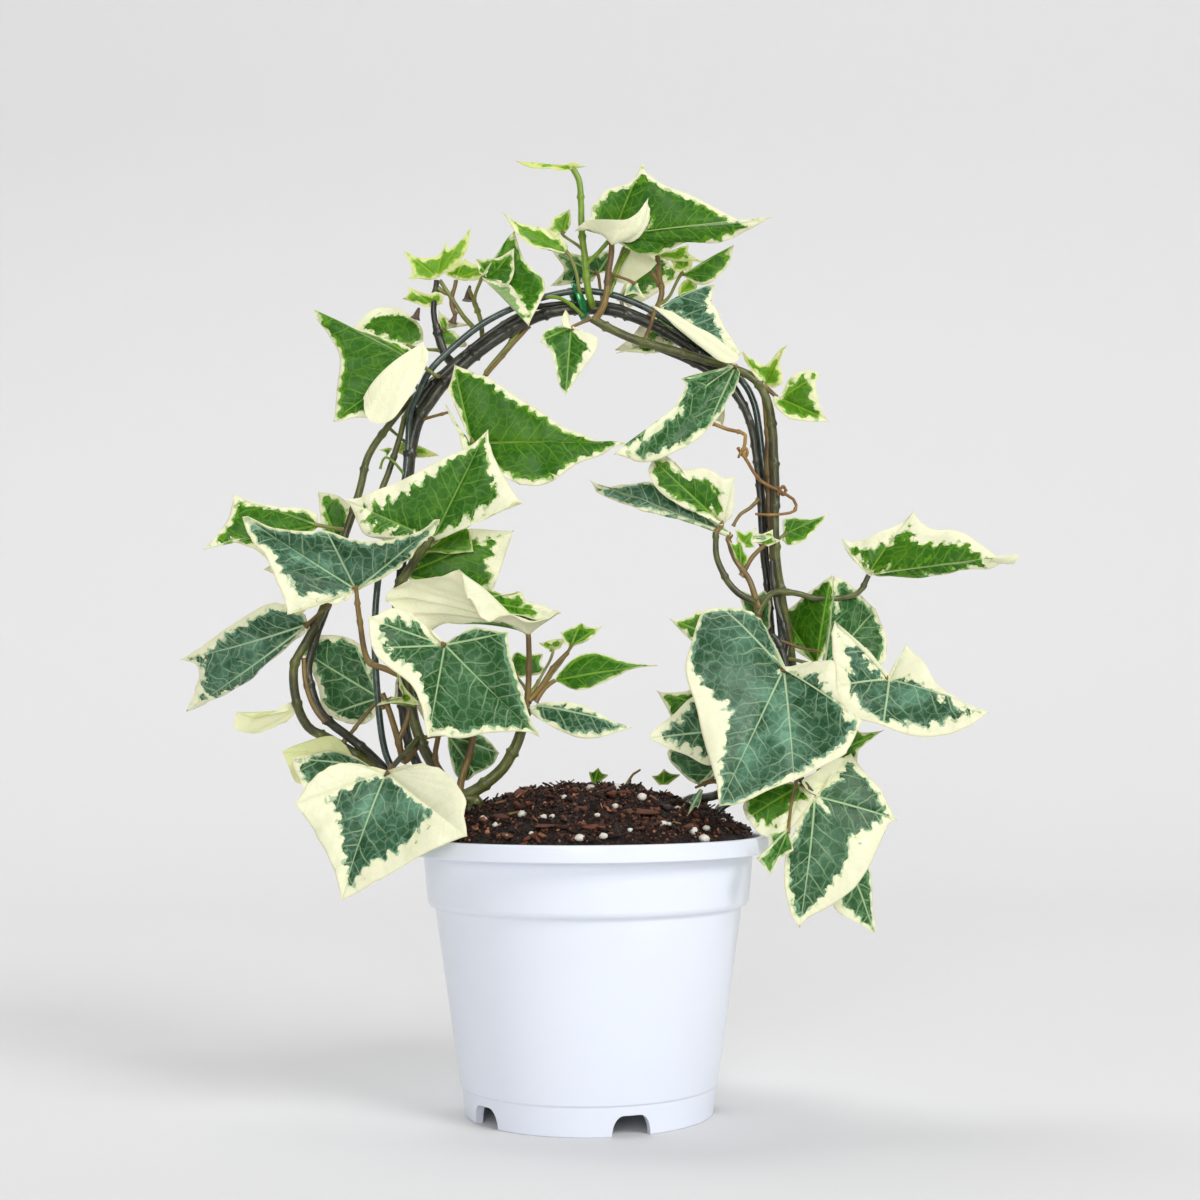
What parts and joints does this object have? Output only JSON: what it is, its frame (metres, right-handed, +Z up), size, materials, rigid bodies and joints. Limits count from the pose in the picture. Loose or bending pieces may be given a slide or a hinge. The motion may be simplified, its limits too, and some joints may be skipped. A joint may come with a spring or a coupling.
{
  "type": "potted wax ivy",
  "caption": "Trailing ivy with lobed, cream-edged leaves, its vines trained round an upright wire hoop, in a tapered white nursery pot of dark soil.",
  "frame": {"origin": "on the pot's axis, at the height of the foot it stands on", "axes": "+Z is up and is the longest extent. -Y is the front, the side the picture shows. +X is the right of the picture, and the hoop stands in the XZ plane."},
  "size_m": [0.2819, 0.12, 0.3193],
  "materials": {
    "pot": "satin white moulded plastic",
    "soil": "dark crumbly bark mix with white specks",
    "hoop": "glossy dark green coating",
    "twist_tie": "shiny emerald",
    "tendril": "dry and matt",
    "outer_vine": "waxy leaves with cream margins",
    "inner_vine": "waxy leaves with cream margins",
    "centre_vine": "waxy leaves with cream margins",
    "right_vine": "waxy leaves with cream margins",
    "right_leg_vine": "waxy leaves with cream margins",
    "low_right_vine": "waxy leaves with cream margins"
  },
  "bodies": {
    "root": {"pot": "pot", "soil": "soil", "hoop": "hoop", "twist_tie": "twist_tie", "tendril": "tendril", "outer_vine": "outer_vine", "inner_vine": "inner_vine", "centre_vine": "centre_vine", "right_vine": "right_vine", "right_leg_vine": "right_leg_vine", "low_right_vine": "low_right_vine"}
  },
  "joints": []
}
